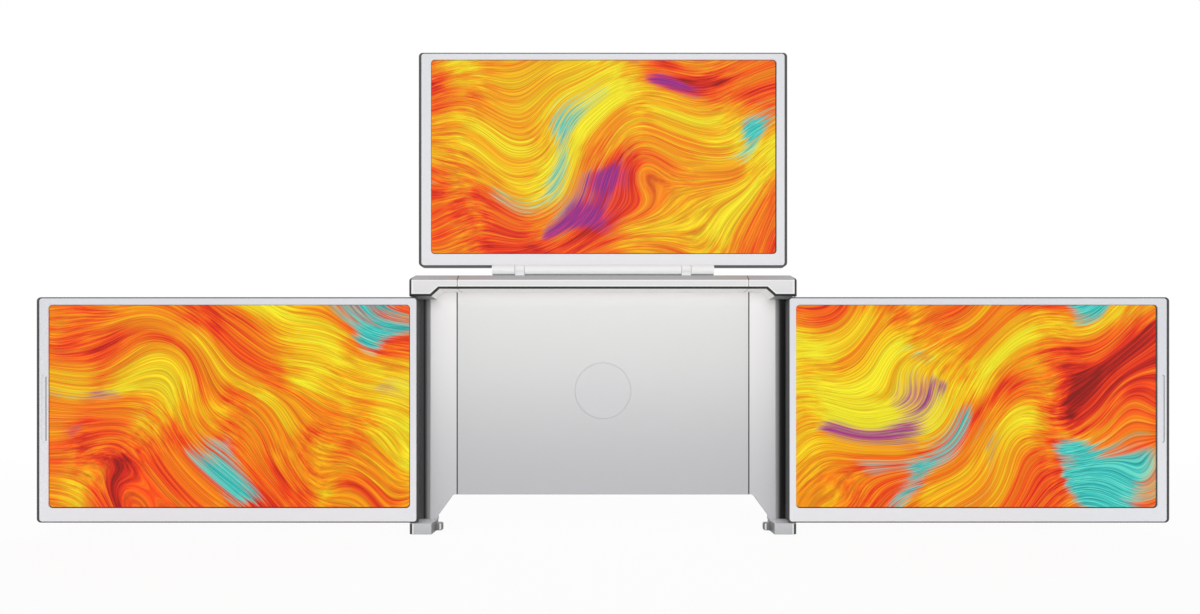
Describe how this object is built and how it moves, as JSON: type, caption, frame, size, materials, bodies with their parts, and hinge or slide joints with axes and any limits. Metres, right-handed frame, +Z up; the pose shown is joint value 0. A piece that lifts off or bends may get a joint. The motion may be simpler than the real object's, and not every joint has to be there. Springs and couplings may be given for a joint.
{
  "type": "laptop screen extender",
  "caption": "Bracket that hangs on a laptop's lid and carries hinged monitors at both sides and above, with sliding wings and a centre plate.",
  "frame": {"origin": "middle of the width and depth, at the underside of the feet, with all screens open flat", "axes": "+X along the row of screens to the user's right, +Y from the user towards the back of the lid, +Z up"},
  "size_m": [0.9702, 0.0286, 0.4266],
  "materials": {
    "plate_silver": "satin anodised",
    "badge_silver": "satin",
    "bar_silver": "fine blasted",
    "bezel_silver": "satin painted",
    "shell_dark": "fine grained",
    "column_dark": "fine grained",
    "button_dark": "satin",
    "display": "anti-glare",
    "board": "solder mask",
    "guide_plastic": "slick",
    "rubber": "matt",
    "tongue_steel": "brushed",
    "spring_steel": "drawn",
    "socket_steel": "plated",
    "screw_steel": "blackened",
    "hinge_steel": "ground"
  },
  "bodies": {
    "centre": {"badge_disc": "badge_silver", "centre_back_shell": "shell_dark", "centre_front_plate": "plate_silver", "centre_screws": "screw_steel", "left_wing_spring": "spring_steel", "main_board": "board", "right_wing_spring": "spring_steel", "slide_guides": "guide_plastic", "top_bar_beam": "bar_silver", "top_hinge_brackets": "hinge_steel", "top_hinge_pins": "hinge_steel", "usb_c_sockets": "socket_steel"},
    "left_wing": {"left_corner_block": "bar_silver", "left_foot_block": "bar_silver", "left_foot_pad": "rubber", "left_hinge_column": "column_dark", "left_lid_tab": "bar_silver", "left_pivot_pins": "hinge_steel", "left_slide_tongue": "tongue_steel", "left_wing_back_cover": "shell_dark", "left_wing_plate": "plate_silver", "left_wing_screws": "screw_steel"},
    "right_wing": {"right_corner_block": "bar_silver", "right_foot_block": "bar_silver", "right_foot_pad": "rubber", "right_hinge_column": "column_dark", "right_lid_tab": "bar_silver", "right_pivot_pins": "hinge_steel", "right_slide_tongue": "tongue_steel", "right_wing_back_cover": "shell_dark", "right_wing_plate": "plate_silver", "right_wing_screws": "screw_steel"},
    "left_screen": {"left_screen_bezel": "bezel_silver", "left_screen_display_panel": "display", "left_screen_driver_board": "board", "left_screen_hinge_bushes": "hinge_steel", "left_screen_rear_shell": "shell_dark", "left_screen_screws": "screw_steel", "left_screen_usb_c_socket": "socket_steel"},
    "right_screen": {"right_screen_bezel": "bezel_silver", "right_screen_display_panel": "display", "right_screen_driver_board": "board", "right_screen_hinge_bushes": "hinge_steel", "right_screen_rear_shell": "shell_dark", "right_screen_screws": "screw_steel", "right_screen_usb_c_socket": "socket_steel"},
    "top_screen": {"top_hinge_cover": "bezel_silver", "top_hinge_leaves": "hinge_steel", "top_screen_bezel": "bezel_silver", "top_screen_display_panel": "display", "top_screen_driver_board": "board", "top_screen_rear_shell": "shell_dark", "top_screen_screws": "screw_steel", "top_screen_usb_c_socket": "socket_steel"},
    "left_screen_menu_button": {"left_screen_menu_button": "button_dark"},
    "left_screen_power_button": {"left_screen_power_button": "button_dark"},
    "right_screen_menu_button": {"right_screen_menu_button": "button_dark"},
    "right_screen_power_button": {"right_screen_power_button": "button_dark"},
    "top_screen_menu_button": {"top_screen_menu_button": "button_dark"},
    "top_screen_power_button": {"top_screen_power_button": "button_dark"}
  },
  "joints": [
    {"name": "extend_left_wing", "type": "slide", "parent": "centre", "child": "left_wing", "axis": [-1, 0, 0], "range_m": [0, 0.035], "stiffness_N_per_m": 250, "springref_m": -0.02, "deforming": ["left_wing_spring"]},
    {"name": "extend_right_wing", "type": "slide", "parent": "centre", "child": "right_wing", "axis": [1, 0, 0], "range_m": [0, 0.035], "stiffness_N_per_m": 250, "springref_m": -0.02, "deforming": ["right_wing_spring"]},
    {"name": "fold_left_screen", "type": "hinge", "parent": "left_wing", "child": "left_screen", "pos_m": [-0.1637, -0.00655, 0.1], "axis": [0, 0, 1], "range_deg": [0, 180]},
    {"name": "fold_right_screen", "type": "hinge", "parent": "right_wing", "child": "right_screen", "pos_m": [0.1637, -0.01095, 0.1], "axis": [0, 0, -1], "range_deg": [0, 180]},
    {"name": "fold_top_screen", "type": "hinge", "parent": "centre", "child": "top_screen", "pos_m": [0, -0.00555, 0.2286], "axis": [1, 0, 0], "range_deg": [-15, 180]},
    {"name": "press_left_screen_menu", "type": "slide", "parent": "left_screen", "child": "left_screen_menu_button", "axis": [1, 0, 0], "range_m": [0, 0.0004], "stiffness_N_per_m": 1200, "springref_m": -0.0003},
    {"name": "press_left_screen_power", "type": "slide", "parent": "left_screen", "child": "left_screen_power_button", "axis": [1, 0, 0], "range_m": [0, 0.0004], "stiffness_N_per_m": 1200, "springref_m": -0.0003},
    {"name": "press_right_screen_menu", "type": "slide", "parent": "right_screen", "child": "right_screen_menu_button", "axis": [-1, 0, 0], "range_m": [0, 0.0004], "stiffness_N_per_m": 1200, "springref_m": -0.0003},
    {"name": "press_right_screen_power", "type": "slide", "parent": "right_screen", "child": "right_screen_power_button", "axis": [-1, 0, 0], "range_m": [0, 0.0004], "stiffness_N_per_m": 1200, "springref_m": -0.0003},
    {"name": "press_top_screen_menu", "type": "slide", "parent": "top_screen", "child": "top_screen_menu_button", "axis": [-1, 0, 0], "range_m": [0, 0.0004], "stiffness_N_per_m": 1200, "springref_m": -0.0003},
    {"name": "press_top_screen_power", "type": "slide", "parent": "top_screen", "child": "top_screen_power_button", "axis": [-1, 0, 0], "range_m": [0, 0.0004], "stiffness_N_per_m": 1200, "springref_m": -0.0003}
  ]
}
